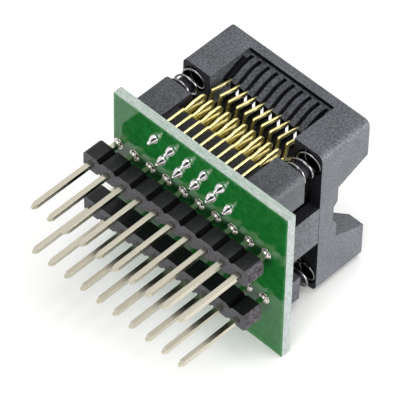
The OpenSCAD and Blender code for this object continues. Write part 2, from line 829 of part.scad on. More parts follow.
circuit_board();
on_side("front") header_strip();  // front_header_strip
on_side("rear") header_strip();  // rear_header_strip
on_side("front") header_pins();  // front_header_pins
on_side("rear") header_pins();  // rear_header_pins
on_side("front") header_solder();  // front_header_solder
on_side("rear") header_solder();  // rear_header_solder
on_side("front") tail_solder();  // front_tail_solder
on_side("rear") tail_solder();  // rear_tail_solder
socket_base();
chip_nest();
press_cover();
for (s = sides, e = ends)
    on_side(s) on_end(e) coil_spring();
for (s = sides, i = numbers) {
    on_side(s) contact(i);
    on_side(s) lever(i);
}
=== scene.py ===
# %% [markdown]
# # Dressing a chip adapter board in Blender
# The adapter is a small green board with two rows of square pins under it and a sprung chip socket on
# top. The exact solids come from the CAD model, which is loaded as a fixed frame: nothing in it is moved.
# Blender adds what a solid model lacks: softened edges, wound springs, flowed solder, grain and gloss.

# %% Load the CAD frame
import math
import random

import bmesh
import bpy
from mathutils import Matrix, Vector, noise


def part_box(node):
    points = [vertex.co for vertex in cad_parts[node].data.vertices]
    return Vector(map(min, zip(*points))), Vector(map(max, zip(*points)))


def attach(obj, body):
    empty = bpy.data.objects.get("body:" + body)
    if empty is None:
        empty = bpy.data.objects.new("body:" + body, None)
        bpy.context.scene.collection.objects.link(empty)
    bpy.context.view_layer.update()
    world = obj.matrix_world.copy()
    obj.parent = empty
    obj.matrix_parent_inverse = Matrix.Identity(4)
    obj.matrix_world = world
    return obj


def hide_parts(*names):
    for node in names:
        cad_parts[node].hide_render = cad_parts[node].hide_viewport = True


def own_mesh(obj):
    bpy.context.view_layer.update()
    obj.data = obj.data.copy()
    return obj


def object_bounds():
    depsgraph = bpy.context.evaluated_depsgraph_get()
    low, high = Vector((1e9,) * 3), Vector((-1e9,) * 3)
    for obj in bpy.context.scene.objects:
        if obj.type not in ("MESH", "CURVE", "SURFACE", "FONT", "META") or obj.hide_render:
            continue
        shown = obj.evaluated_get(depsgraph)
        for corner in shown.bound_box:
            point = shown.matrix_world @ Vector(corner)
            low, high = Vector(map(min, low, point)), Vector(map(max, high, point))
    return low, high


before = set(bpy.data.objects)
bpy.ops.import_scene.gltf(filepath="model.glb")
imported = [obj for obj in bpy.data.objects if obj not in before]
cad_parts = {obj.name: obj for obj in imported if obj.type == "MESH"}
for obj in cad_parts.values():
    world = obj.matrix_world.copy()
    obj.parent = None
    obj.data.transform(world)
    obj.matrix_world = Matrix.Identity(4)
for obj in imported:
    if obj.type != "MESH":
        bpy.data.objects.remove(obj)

cad_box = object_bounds()
scene = bpy.context.scene
mm = 0.001          # the frame is in metres, the lesson thinks in millimetres


def box_mm(node):
    """The lowest and the highest corner of a CAD node, in millimetres."""
    return [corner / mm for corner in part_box(node)]


def shown_mm(corners):
    """Corners of a box, rounded for printing."""
    return [tuple(round(c / mm, 2) for c in corner) for corner in corners]


print("CAD nodes:", len(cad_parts), "box in mm:", shown_mm(cad_box))

# %% [markdown]
# ## The camera
# The adapter lies on its long side and is seen from below, through a long lens. The camera was worked out
# from the pin tips and the board's corners: it stands 430 mm away and is rolled about its own axis, so
# that the floor, which is on the object's rear side, comes out at the bottom of the picture.
# `to_track_quat` aims it, and one more turn about the line of sight gives the roll.

# %% Aim the camera
camera_place = Vector((194.676, -328.654, -199.354)) * mm
aim_point = Vector((0.419, -3.031, 5.223)) * mm
camera_roll = math.radians(52.595)
film_wide = 36        # in millimetres, as the length of the lens is
lens_long = 349.88
nearest_seen = 10 * mm


def add_object(name, data):
    made = bpy.data.objects.new(name, data)
    scene.collection.objects.link(made)
    return made


def aimed_from(place, target):
    """The matrix of a camera or a lamp that stands at a place and looks at a target."""
    return Matrix.Translation(place) @ (target - place).to_track_quat("-Z", "Y").to_matrix().to_4x4()


camera_data = bpy.data.cameras.new("photo_camera")
camera_data.sensor_width = film_wide
camera_data.lens = lens_long
camera_data.clip_start = nearest_seen
camera = add_object("photo_camera", camera_data)
camera.matrix_world = aimed_from(camera_place, aim_point) @ Matrix.Rotation(camera_roll, 4, "Z")
scene.camera = camera
print("camera to object in mm:", round((aim_point - camera_place).length / mm, 1))

# %% [markdown]
# ## Small tools for nodes
# A material is a graph of nodes, and written out it takes a line for every node and every link. A few
# helpers keep the cells short: `add_node` makes a node and fills its inputs by name, `link_in_order` is
# for nodes whose inputs share a name, `blend` mixes two colours or two numbers, and the last two hand
# back a new graph.

# %% Node helpers
def fill_socket(tree, socket, value):
    """Links another node's socket to this one, or writes a plain value into it."""
    if isinstance(value, bpy.types.NodeSocket):
        tree.links.new(value, socket)
    else:
        socket.default_value = value


def add_node(tree, kind, settings=None, **inputs):
    """Adds a node, sets its own settings, then fills the inputs that are named, with _ for a blank."""
    made = tree.nodes.new(kind)
    for key, value in (settings or {}).items():
        setattr(made, key, value)
    for key, value in inputs.items():
        fill_socket(tree, made.inputs[key.replace("_", " ")], value)
    return made


def link_in_order(tree, node, *sockets):
    """Links the sockets to the node's inputs, from the first input on."""
    for place, socket in zip(node.inputs, sockets):
        tree.links.new(socket, place)


mix_places = {"FLOAT": (2, 3, 0), "RGBA": (6, 7, 2)}    # a Mix node has sockets for every kind of data


def blend(tree, share, first, second, kind="RGBA"):
    """Mixes two colours, or two numbers, by a share from 0 to 1 and returns the socket of the result."""
    first_place, second_place, result_place = mix_places[kind]
    mix = add_node(tree, "ShaderNodeMix", {"data_type": kind})
    for number, value in ((0, share), (first_place, first), (second_place, second)):
        fill_socket(tree, mix.inputs[number], value)
    return mix.outputs[result_place]


def start_material(name):
    """A new material, its tree and its Principled shader."""
    material = bpy.data.materials.new(name)
    material.use_nodes = True
    return material, material.node_tree, material.node_tree.nodes["Principled BSDF"]


def start_group(name, inputs, outputs):
    """A node group with named sockets; returns the group and its input and output nodes."""
    group = bpy.data.node_groups.new(name, "ShaderNodeTree")
    for label, kind, value in inputs:
        group.interface.new_socket(label, in_out="INPUT", socket_type=kind).default_value = value
    for label, kind in outputs:
        group.interface.new_socket(label, in_out="OUTPUT", socket_type=kind)
    return group, group.nodes.new("NodeGroupInput"), group.nodes.new("NodeGroupOutput")


print("node helpers ready")

# %% [markdown]
# ## Floor, daylight tent and lamps
# Small parts like this are photographed in a white tent: the light comes from everywhere, and glossy
# faces mirror white. The floor touches the rear side of the board. A camera or mirror ray sees it as
# white paper that still takes a soft shadow; every other ray passes through it, so that the side lying on
# it is lit too. Part of the paper's white is a faint glow, which stands for light thrown back and forth
# in the tent. Close to the part that light can't get in, so an Ambient Occlusion node takes the glow away
# there.

# %% Paper for the floor
paper_glow = 0.28
contact_reach = 5 * mm    # how near the part the glow fades


def seen_rays(tree):
    """1 for rays that look at a surface, straight, mirrored or through glass; 0 for those that light it."""
    path = add_node(tree, "ShaderNodeLightPath")
    seen = path.outputs["Is Camera Ray"]
    for kind in ("Is Glossy Ray", "Is Transmission Ray"):
        either = add_node(tree, "ShaderNodeMath", {"operation": "MAXIMUM"})
        link_in_order(tree, either, seen, path.outputs[kind])
        seen = either.outputs[0]
    return seen


paper, tree, shader = start_material("white_paper")
tree.nodes.remove(shader)
side_seen = add_node(tree, "ShaderNodeNewGeometry")
from_above = add_node(tree, "ShaderNodeMath", {"operation": "SUBTRACT"})
link_in_order(tree, from_above, seen_rays(tree), side_seen.outputs["Backfacing"])
fibres = add_node(tree, "ShaderNodeTexNoise", Scale=700.0, Detail=4.0)
paper_tone = blend(tree, fibres.outputs[0], (0.86, 0.82, 0.80, 1), (0.90, 0.86, 0.84, 1))
matt = add_node(tree, "ShaderNodeBsdfDiffuse", Color=paper_tone)
open_to_light = add_node(tree, "ShaderNodeAmbientOcclusion", {"samples": 8}, Color=(0.84, 0.96, 1, 1),
                         Distance=contact_reach)
glow = add_node(tree, "ShaderNodeEmission", Color=open_to_light.outputs["Color"], Strength=paper_glow)
lit_paper = add_node(tree, "ShaderNodeAddShader")
link_in_order(tree, lit_paper, matt.outputs[0], glow.outputs[0])
clear = add_node(tree, "ShaderNodeBsdfTransparent")
paper_or_clear = add_node(tree, "ShaderNodeMixShader")
link_in_order(tree, paper_or_clear, from_above.outputs[0], clear.outputs[0], lit_paper.outputs[0])
tree.links.new(paper_or_clear.outputs[0], tree.nodes["Material Output"].inputs["Surface"])
print("floor finish:", paper.name, "nodes:", len(tree.nodes))

# %% Floor
floor_y = 11.74 * mm      # just clear of the board's long edge, on which the adapter lies
floor_half = 0.45
quarter_turn = math.radians(90)


def mesh_from(bm, name, finishes=()):
    """Writes the bmesh into a new mesh, frees it and gives the mesh its finishes in order."""
    mesh = bpy.data.meshes.new(name)
    bm.to_mesh(mesh)
    bm.free()
    for finish in finishes:
        mesh.materials.append(finish)
    return mesh


def flat_sheet(name, half, finish, *moves):
    """A square sheet with its place in its mesh: each move is a matrix, and one follows the other."""
    bm = bmesh.new()
    bmesh.ops.create_grid(bm, x_segments=1, y_segments=1, size=half)
    for move in moves:
        bmesh.ops.transform(bm, matrix=move, verts=bm.verts)
    return add_object(name, mesh_from(bm, name, [finish]))


floor = flat_sheet("paper_floor", floor_half, paper, Matrix.Rotation(quarter_turn, 4, "X"),
                   Matrix.Translation((0, floor_y, 0)))
print("floor at y in mm:", floor_y / mm, "normal:", tuple(floor.data.polygons[0].normal))

# %% World and lamps
tent_light = 0.25     # what the tent gives a matt surface from all round
tent_white = 1.0      # what a ray sees that looks at the tent
lamp_away = 0.5
part_centre = (cad_box[0] + cad_box[1]) / 2

world = bpy.data.worlds.new("white_tent")
scene.world = world
world.use_nodes = True
tree = world.node_tree
strength = add_node(tree, "ShaderNodeMapRange", Value=seen_rays(tree), To_Min=tent_light, To_Max=tent_white)
tree.nodes["Background"].inputs["Color"].default_value = (1, 1, 1, 1)
tree.links.new(strength.outputs[0], tree.nodes["Background"].inputs["Strength"])


def hang_lamp(name, direction, size, watts):
    """A square softbox that looks at the middle of the part."""
    lamp = bpy.data.lights.new(name, "AREA")
    lamp.size = size
    lamp.energy = watts
    softbox = add_object(name, lamp)
    softbox.matrix_world = aimed_from(part_centre + Vector(direction).normalized() * lamp_away, part_centre)
    return softbox


softboxes = [
    hang_lamp("overhead_softbox", (0.03, -1.0, 0.12), size=0.35, watts=1.3),
    hang_lamp("right_softbox", (1.0, -0.07, 0.6), size=0.45, watts=4.4),
    hang_lamp("pin_side_softbox", (0.35, -0.35, -1.0), size=0.35, watts=2.0),
    hang_lamp("rear_softbox", (-0.4, 1.0, 0.5), size=0.45, watts=1.2),
]
print("lamps:", [softbox.name for softbox in softboxes])

# %% [markdown]
# In an all-white tent bright metal looks like paper. A tent has an opening for the lens, though, and what
# stands behind it is dark. A dark card behind the camera does that: only mirror rays see it, so it shades
# nothing, but every round wire and every drop of solder gets a dark streak where it faces the camera.

# %% Dark card behind the lens
card_half = 0.22
card_behind = 0.03

card_finish, tree, shader = start_material("dark_card")
shader.inputs["Base Color"].default_value = (0.02, 0.02, 0.022, 1)
shader.inputs["Roughness"].default_value = 0.9
card = flat_sheet("dark_card", card_half, card_finish, Matrix.Translation((0, 0, card_behind)),
                  camera.matrix_world)
card.visible_camera = card.visible_diffuse = card.visible_shadow = False
print("card behind the lens, half width in mm:", card_half / mm)

# %% [markdown]
# ## Finishes
# Two effects return in several materials, so each is a node group. `moulded_grain` is the fine, cloudy
# grain of moulded plastic and lacquer: two noises, one fine and one broad, pick a colour between a dark
# and a light one. `drawn_streaks` is plated or drawn metal: one noise, pulled long in one direction by a
# Mapping node. Both read Object coordinates, so the grain stays on the piece from every side and in every
# pose.

# %% What both groups share
look_sockets = [("Colour", "NodeSocketColor"), ("Roughness", "NodeSocketFloat"),
                ("Height", "NodeSocketFloat")]


def stretched(tree, socket, lowest, highest):
    """Noise crowds round one half: this stretches what lies between two values to run from 0 to 1."""
    return add_node(tree, "ShaderNodeMapRange", Value=socket, From_Min=lowest, From_Max=highest).outputs[0]


def pulled_noise(tree, pull, **inputs):
    """Noise on Object coordinates, drawn out along each axis by a Mapping node."""
    place = add_node(tree, "ShaderNodeTexCoord")
    pulled = add_node(tree, "ShaderNodeMapping", Vector=place.outputs["Object"], Scale=pull)
    return add_node(tree, "ShaderNodeTexNoise", Vector=pulled.outputs[0], Scale=1.0, **inputs).outputs[0]


def give_look(group, take, give, share, tones, height):
    """Ends a group: the share picks the tone and the roughness, and the height goes out as it is."""
    colour = blend(group, share, *(take.outputs[tone] for tone in tones))
    rough = add_node(group, "ShaderNodeMapRange", Value=share, To_Min=take.outputs["Smoothest"],
                     To_Max=take.outputs["Roughest"])
    link_in_order(group, give, colour, rough.outputs[0], height)


print("each group gives:", [label for label, kind in look_sockets])

# %% Group: moulded grain
cloud_share = 0.25

grain_group, take, give = start_group(
    "moulded_grain",
    [("Dark", "NodeSocketColor", (0.05, 0.05, 0.05, 1)), ("Light", "NodeSocketColor", (0.1, 0.1, 0.1, 1)),
     ("Grain", "NodeSocketFloat", 4000.0), ("Clouds", "NodeSocketFloat", 300.0),
     ("Smoothest", "NodeSocketFloat", 0.3), ("Roughest", "NodeSocketFloat", 0.5)], look_sockets)
place = add_node(grain_group, "ShaderNodeTexCoord")
fine = add_node(grain_group, "ShaderNodeTexNoise", Vector=place.outputs["Object"],
                Scale=take.outputs["Grain"], Detail=2.0, Roughness=0.55)
broad = add_node(grain_group, "ShaderNodeTexNoise", Vector=place.outputs["Object"],
                 Scale=take.outputs["Clouds"], Detail=2.0)
both = blend(grain_group, cloud_share, stretched(grain_group, fine.outputs[0], 0.40, 0.60),
             stretched(grain_group, broad.outputs[0], 0.3, 0.7), kind="FLOAT")
give_look(grain_group, take, give, both, ("Dark", "Light"), fine.outputs[0])
print("group:", grain_group.name, [s.name for s in grain_group.interface.items_tree])

# %% Group: drawn streaks
streak_group, take, give = start_group(
    "drawn_streaks",
    [("Bright", "NodeSocketColor", (0.8, 0.8, 0.8, 1)), ("Dull", "NodeSocketColor", (0.6, 0.6, 0.6, 1)),
     ("Stretch", "NodeSocketVector", (3000.0, 3000.0, 300.0)),
     ("Smoothest", "NodeSocketFloat", 0.15), ("Roughest", "NodeSocketFloat", 0.35)], look_sockets)
streak = pulled_noise(streak_group, take.outputs["Stretch"], Detail=3.0)
give_look(streak_group, take, give, stretched(streak_group, streak, 0.32, 0.68), ("Bright", "Dull"), streak)
print("group:", streak_group.name, [s.name for s in streak_group.interface.items_tree])

# %% [markdown]
# A material then needs one group node, one Bump node and one Principled shader. What is the same all
# over, such as metallic or the reflection level, is set on the shader itself. The plastics differ mostly
# in tone; darker copies of one plastic paint shade, and a paler one paints light. The metals differ in
# their plating and in how smooth it is.

# %% Helpers: moulded and plated finishes
grain_depth = 0.02 * mm


def finish_from(group, name, look, relief, metallic=0.0, ior=1.5):
    """A material from one of the groups: look fills the group's inputs, relief is the bump's strength."""
    material, tree, shader = start_material(name)
    effect = add_node(tree, "ShaderNodeGroup", {"node_tree": group}, **look)
    tree.links.new(effect.outputs["Colour"], shader.inputs["Base Color"])
    tree.links.new(effect.outputs["Roughness"], shader.inputs["Roughness"])
    bump = add_node(tree, "ShaderNodeBump", Strength=relief, Distance=grain_depth,
                    Height=effect.outputs["Height"])
    tree.links.new(bump.outputs[0], shader.inputs["Normal"])
    shader.inputs["Metallic"].default_value = metallic
    shader.inputs["IOR"].default_value = ior
    return material


def moulded(name, dark, light, rough, relief, grain=4300, clouds=420, ior=1.5):
    """Plastic or lacquer: two tones, the range of roughness, and how fine the grain and the clouds are."""
    look = dict(Dark=(*dark, 1), Light=(*light, 1), Grain=grain, Clouds=clouds, Smoothest=rough[0],
                Roughest=rough[1])
    return finish_from(grain_group, name, look, relief, ior=ior)


def plated(name, bright, dull, stretch, rough, relief):
    """Metal: two tones, how its streaks are drawn out, and the range of roughness."""
    look = dict(Bright=(*bright, 1), Dull=(*dull, 1), Stretch=stretch, Smoothest=rough[0],
                Roughest=rough[1])
    return finish_from(streak_group, name, look, relief, metallic=1.0)


print("finish helpers ready")

# %% Charcoal plastic of the socket, and darker copies that paint shade
cover_finish = moulded("charcoal_cover_plastic", dark=(0.042, 0.046, 0.052), light=(0.148, 0.158, 0.174),
                       rough=(0.42, 0.62), relief=0.5, ior=1.38)
# darker copy of the cover plastic for the window's ribs and end walls: painted shade of the recess
rib_painted_shade_finish = moulded("painted_shade_rib_plastic", dark=(0.020, 0.023, 0.028), light=(0.110, 0.118, 0.132),
                     rough=(0.45, 0.62), relief=0.4, ior=1.3)
socket_finish = moulded("charcoal_socket_plastic", dark=(0.029, 0.032, 0.037), light=(0.100, 0.107, 0.119),
                        rough=(0.42, 0.62), relief=0.5, ior=1.38)
# black finish of the comb's teeth, also used as painted shade on the cover's underside, its slot walls and
# the spring pockets
comb_and_shade_finish = moulded("black_comb_and_painted_shade", dark=(0.008, 0.008, 0.011), light=(0.030, 0.029, 0.038),
                      rough=(0.45, 0.6), relief=0.3, ior=1.22)
# near-black copy that paints shade in slots, pockets, between the contacts and in the strips' notches
painted_shade_black_finish = moulded("painted_shade_black_plastic", dark=(0.0016, 0.0015, 0.0018), light=(0.0065, 0.006, 0.007),
                       rough=(0.5, 0.65), relief=0.2, ior=1.09)
print("materials so far:", len(bpy.data.materials))

# %% Plastic of the strips, lacquer of the board
strip_finish = moulded("black_strip_plastic", dark=(0.004, 0.0045, 0.005), light=(0.011, 0.012, 0.013),
                       rough=(0.28, 0.31), relief=0.004, grain=3200, clouds=500, ior=1.35)
# paler grey copy for the strip's pin-side faces: painted light where they catch the light
painted_light_foot_finish = moulded("painted_light_strip_foot", dark=(0.032, 0.033, 0.037), light=(0.098, 0.100, 0.115),
                      rough=(0.45, 0.6), relief=0.2, grain=3000, clouds=500, ior=1.4)
snapped_finish = moulded("snapped_strip_plastic", dark=(0.004, 0.0036, 0.0045), light=(0.10, 0.09, 0.103),
                         rough=(0.5, 0.8), relief=0.6, grain=3000, clouds=900, ior=1.3)
rim_finish = moulded("pale_solder_mask_rim", dark=(0.032, 0.200, 0.052), light=(0.060, 0.260, 0.085),
                     rough=(0.10, 0.16), relief=0.03, grain=1500, clouds=220)
mask_finish = moulded("green_solder_mask", dark=(0.0075, 0.122, 0.019), light=(0.012, 0.168, 0.029),
                      rough=(0.07, 0.13), relief=0.03, grain=1500, clouds=220)
print("materials so far:", len(bpy.data.materials))

# %% Metals
gold_finish = plated("gold_plated_spring_sheet", bright=(0.935, 0.85, 0.405), dull=(0.88, 0.77, 0.33),
                     stretch=(5000, 5000, 900), rough=(0.25, 0.38), relief=0.08)
tin_finish = plated("pale_tin_on_pins", bright=(0.61, 0.575, 0.475), dull=(0.55, 0.515, 0.42),
                    stretch=(3000, 3000, 150), rough=(0.16, 0.19), relief=0.004)
solder_finish = plated("flowed_solder", bright=(0.86, 0.86, 0.85), dull=(0.66, 0.66, 0.65),
                       stretch=(1800, 1800, 1800), rough=(0.06, 0.16), relief=0.06)
fluxed_finish = plated("fluxed_solder", bright=(0.78, 0.76, 0.71), dull=(0.56, 0.55, 0.51),
                       stretch=(1800, 1800, 1800), rough=(0.10, 0.20), relief=0.08)
steel_finish = plated("bright_spring_steel", bright=(0.34, 0.34, 0.34), dull=(0.18, 0.18, 0.19),
                      stretch=(2500, 2500, 2500), rough=(0.12, 0.26), relief=0.1)
print("materials so far:", len(bpy.data.materials))

# %% [markdown]
# The cut edge of the board shows its layers of glass cloth: pale, streaky along the edge and speckled.
# Noise pulled along X and Y makes the layers, because those two directions lie in the board; a second,
# fine noise gives the cut fibre ends. The long edges were routed and are greener and paler than the short
# ones, which were broken off a larger panel, so one function makes both from three tones.

# %% Cut fibreglass
layer_pull = (700, 700, 6500)
fibre_pull = (2400, 2400, 7000)
edge_rough = 0.7
edge_relief = 0.5
edge_depth = 0.03 * mm


def cut_laminate(name, dark, pale, gap):
    """The cut edge of the board: two tones for the layers, one for the gaps between fibre ends."""
    material, tree, shader = start_material(name)
    layers = pulled_noise(tree, layer_pull, Detail=4.0, Roughness=0.65)
    fibre_ends = pulled_noise(tree, fibre_pull, Detail=2.0)
    layer_tone = blend(tree, stretched(tree, layers, 0.34, 0.62), (*dark, 1), (*pale, 1))
    edge_tone = blend(tree, stretched(tree, fibre_ends, 0.28, 0.46), (*gap, 1), layer_tone)
    tree.links.new(edge_tone, shader.inputs["Base Color"])
    shader.inputs["Roughness"].default_value = edge_rough
    bump = add_node(tree, "ShaderNodeBump", Strength=edge_relief, Distance=edge_depth, Height=fibre_ends)
    tree.links.new(bump.outputs[0], shader.inputs["Normal"])
    return material


broken_finish = cut_laminate("broken_fibreglass_edge", dark=(0.25, 0.30, 0.28), pale=(0.40, 0.425, 0.425),
                             gap=(0.15, 0.18, 0.16))
routed_finish = cut_laminate("routed_fibreglass_edge", dark=(0.33, 0.43, 0.36), pale=(0.54, 0.60, 0.56),
                             gap=(0.19, 0.24, 0.20))
print("edge finishes:", broken_finish.name, routed_finish.name)

# %% [markdown]
# ## Softened solids
# No moulded, cut or stamped edge is a perfect corner, and it is the thin bright line along a rounded edge
# that makes a small part look real. A copy of each CAD mesh is merged, its flat faces are made whole with
# `dissolve_limit`, and its sharp edges are beveled. The work is done in millimetres, because the bevel's
# own tolerances are too coarse for hundredths of a millimetre written in metres.

# %% Helpers: copy, cut, soften, place
weld = 0.0005         # points closer than this are one
flat_within = 0.5     # faces that turn by fewer degrees are one


def merged_copy(node):
    """The CAD node's mesh as a bmesh in millimetres, its triangles joined and its flat faces whole."""
    bm = bmesh.new()
    bm.from_mesh(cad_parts[node].data)
    bmesh.ops.scale(bm, vec=(1 / mm,) * 3, verts=bm.verts)
    bmesh.ops.remove_doubles(bm, verts=bm.verts, dist=weld)
    bmesh.ops.dissolve_limit(bm, angle_limit=math.radians(flat_within), verts=bm.verts, edges=bm.edges)
    return bm


def cut_flat(bm, geom, axis, place):
    """Cuts the geometry along a plane that is square to X, Y or Z, for which axis is 0, 1 or 2."""
    normal = Vector((0, 0, 0))
    normal[axis] = 1
    bmesh.ops.bisect_plane(bm, geom=geom, dist=weld, plane_co=normal * place, plane_no=normal)


def soften(bm, width, sharp=35, segments=2):
    """Rounds every edge that turns by more than sharp degrees."""
    edges = [e for e in bm.edges if e.is_manifold and e.calc_face_angle(0) > math.radians(sharp)]
    bmesh.ops.bevel(bm, geom=edges, offset=width, offset_type="OFFSET", affect="EDGES", segments=segments,
                    profile=0.5, material=-1, clamp_overlap=True)
    return len(edges)


def place_piece(bm, name, body, slot, finishes, *nodes, smooth_below=20):
    """Turns the bmesh into a piece at the origin that rides on a body and stands for its CAD nodes."""
    bmesh.ops.scale(bm, vec=(mm,) * 3, verts=bm.verts)
    mesh = mesh_from(bm, name, finishes)
    mesh.shade_smooth()
    mesh.set_sharp_from_angle(angle=math.radians(smooth_below))
    piece = add_object(name, mesh)
    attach(piece, body)
    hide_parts(*nodes)
    return piece


print("softening tools ready")

# %% [markdown]
# ## Moulded pieces
# Base, chip seat and sprung cover are moulded in the same charcoal plastic. Faces that lie in shade, in
# slots, pockets, the cover's window and underside and between the contacts, get darker copies of it,
# which is painted shade; the comb's teeth get a black finish as well. So each face gets its finish by
# its place, before the edges are rounded.

# %% Places on the base and the cover
comb_half = 6.7       # the comb between the corner pedestals, along the rows
comb_from = 6.2       # and across them, from the middle
wall_from = 8.3       # inside of this are the walls between the contacts
window_half = 6.5     # the window in the cover's long side, along the rows
window_face = 11.3    # how far out it reaches
window_top = 20.11    # and how far up
window_end = 0.2      # how close to its ends the end walls lie
slot_wide = 0.55      # no face of a slot is wider along the rows
spring_room = 1.8     # a spring, its post and its pocket lie within this radius
raised_gap = 2.8      # between the pedestals and the cover when it is up
slack = 0.05          # a face counts as below a height up to this much above it
mostly = 0.7          # a face looks along an axis if its normal has this much of it

spring_low, spring_high = box_mm("cover_spring_rear_right")
spring_axis = (spring_low + spring_high) / 2
pedestal_top = spring_low.z
pocket_top = spring_high.z
cover_under = pedestal_top + raised_gap
print("spring axis in mm:", [round(c, 2) for c in spring_axis], "pocket top:", round(pocket_top, 2))

# %% Which finish goes where
def near_spring(point):
    return math.hypot(abs(point.x) - spring_axis.x, abs(point.y) - spring_axis.y) < spring_room


def in_window(point):
    return (abs(point.x) < window_half and comb_from < abs(point.y) < window_face
            and point.z < window_top + slack)


def base_finish_at(face):
    """0 grey, 1 black: the comb's teeth, and painted shade in the spring pockets, 2 deep black painted
    shade between the contacts.
    """
    middle = face.calc_center_median()
    if near_spring(middle) and middle.z > pedestal_top + slack:
        return 1
    if abs(middle.x) < comb_half and abs(middle.y) > comb_from:
        return 1 if abs(middle.y) > wall_from else 2
    return 0


def cover_finish_at(face):
    """0 grey, 1 rib plastic with painted shade, 2 deep black painted shade, 3 black painted shade on slot
    walls and the underside.
    """
    middle = face.calc_center_median()
    if in_window(middle):
        if abs(face.normal.x) > mostly:
            return 1 if abs(middle.x) > window_half - window_end else 3
        width = max(v.co.x for v in face.verts) - min(v.co.x for v in face.verts)
        return 2 if width < slot_wide or face.normal.z < -mostly else 1
    if near_spring(middle) and middle.z < pocket_top + slack:
        return 2
    under = middle.z < cover_under + slack
    return 3 if under and (face.normal.z < -mostly or abs(face.normal.y) > mostly) else 0


print("rules for base and cover ready")

# %% Base, seat and cover
# after the grey, the base gets black teeth with painted shade, and the cover gets painted shade only
socket_finishes = [socket_finish, comb_and_shade_finish, painted_shade_black_finish]
cover_finishes = [cover_finish, rib_painted_shade_finish, painted_shade_black_finish, comb_and_shade_finish]
socket_rounding = 0.05
cover_rounding = 0.07

for node, name, body, slot, finishes, pick, width in (
        ("socket_base", "base_moulding", "adapter", "socket_plastic", socket_finishes, base_finish_at,
         socket_rounding),
        ("chip_nest", "chip_seat_moulding", "adapter", "socket_plastic", socket_finishes, base_finish_at,
         socket_rounding),
        ("press_cover", "cover_moulding", "cover", "cover_plastic", cover_finishes, cover_finish_at,
         cover_rounding)):
    bm = merged_copy(node)
    bm.normal_update()
    for face in bm.faces:
        face.material_index = pick(face)
    shares = [sum(f.material_index == k for f in bm.faces) for k in range(len(finishes))]
    rounded = soften(bm, width)
    place_piece(bm, name, body, slot, finishes, node)
    print(name, "edges rounded:", rounded, "faces by finish:", shares)

# %% [markdown]
# ## The board
# The board is a slab of fibreglass with green lacquer on both faces. Towards the edge the lacquer runs
# thin, so the pale laminate shines through in a narrow rim. Four cuts with `bisect_plane` part that rim
# from the rest. Faces that look up or down, and the rounded lip at the edge, take lacquer or rim; faces
# that look sideways show the bare laminate, routed on the long edges and broken on the short ones.

# %% Board slab
rim_wide = 0.26
board_rounding = 0.05
lip_turn = 0.3        # a face with this much of its normal along Z still carries lacquer

bm = merged_copy("circuit_board")
soften(bm, board_rounding)
low, high = box_mm("circuit_board")
for axis in (0, 1):
    for cut_at in (low[axis] + rim_wide, high[axis] - rim_wide):
        cut_flat(bm, [*bm.verts, *bm.edges, *bm.faces], axis, cut_at)
bm.normal_update()
for face in bm.faces:
    middle = face.calc_center_median()
    inside = all(low[k] + rim_wide < middle[k] < high[k] - rim_wide for k in (0, 1))
    if abs(face.normal.z) > lip_turn:
        face.material_index = 0 if inside else 1
    else:
        face.material_index = 2 if abs(face.normal.x) > abs(face.normal.y) else 3
board_finishes = [mask_finish, rim_finish, broken_finish, routed_finish]
slab = place_piece(bm, "board_slab", "adapter", "board", board_finishes, "circuit_board")
print("board faces:", len(slab.data.polygons))

# %% [markdown]
# ## Header strips
# The strips are cut from a long stick by snapping it at a notch, so the end faces are torn and rough.
# Each end face is cut into a fine grid with `bisect_plane`, once across and once up for each step, and
# the points inside its rim are pushed in by a noise value. The sides of the cells are smooth and black.
# The slopes of the notches between them get a blacker finish, which is painted shade, and the foot, on
# the side of the pins, gets a paler, matt grey one, which is painted light.

# %% Helpers: torn ends and finishes of a strip
torn_depth = 0.3
torn_step = 0.14
coarse_bite = 1.9     # waves of the tear per millimetre
fine_bite = 4.7
fine_share = 0.8      # how strong the fine waves are beside the coarse ones
usual_bite = 0.4      # share of the depth that is gone where the waves cancel
bite_swing = 0.6
half_notch = 0.6      # what is left of the notch at a snapped end
flat_end = 0.99       # how squarely an end face looks along the strip
end_slack = 0.01
notch_turn = 0.3      # slopes of a notch have more of their normal than this along the strip
foot_turn = 0.8       # and the foot has this much of it downwards


def end_faces(bm, reach):
    return [f for f in bm.faces
            if abs(f.normal.x) > flat_end and abs(abs(f.calc_center_median().x) - reach) < end_slack]


def bite_at(point):
    """How much of the torn depth is gone at a point, by a coarse noise and a finer, weaker one."""
    waves = noise.noise(point * coarse_bite) + fine_share * noise.noise(point * fine_bite)
    return max(0.0, usual_bite + bite_swing * waves)


def strip_finish_at(face, reach):
    """0 black, 1 torn end, 2 foot with painted light, 3 notch with painted shade."""
    middle = face.calc_center_median()
    if abs(face.normal.x) > notch_turn:
        return 1 if abs(middle.x) > reach - half_notch and face.normal.x * middle.x > 0 else 3
    return 2 if face.normal.z < -foot_turn else 0


print("strip helpers ready")

# %% Strips with snapped ends
# the foot's grey finish is painted light, and the notches' black one is painted shade
strip_finishes = [strip_finish, snapped_finish, painted_light_foot_finish, painted_shade_black_finish]
strip_rounding = 0.025

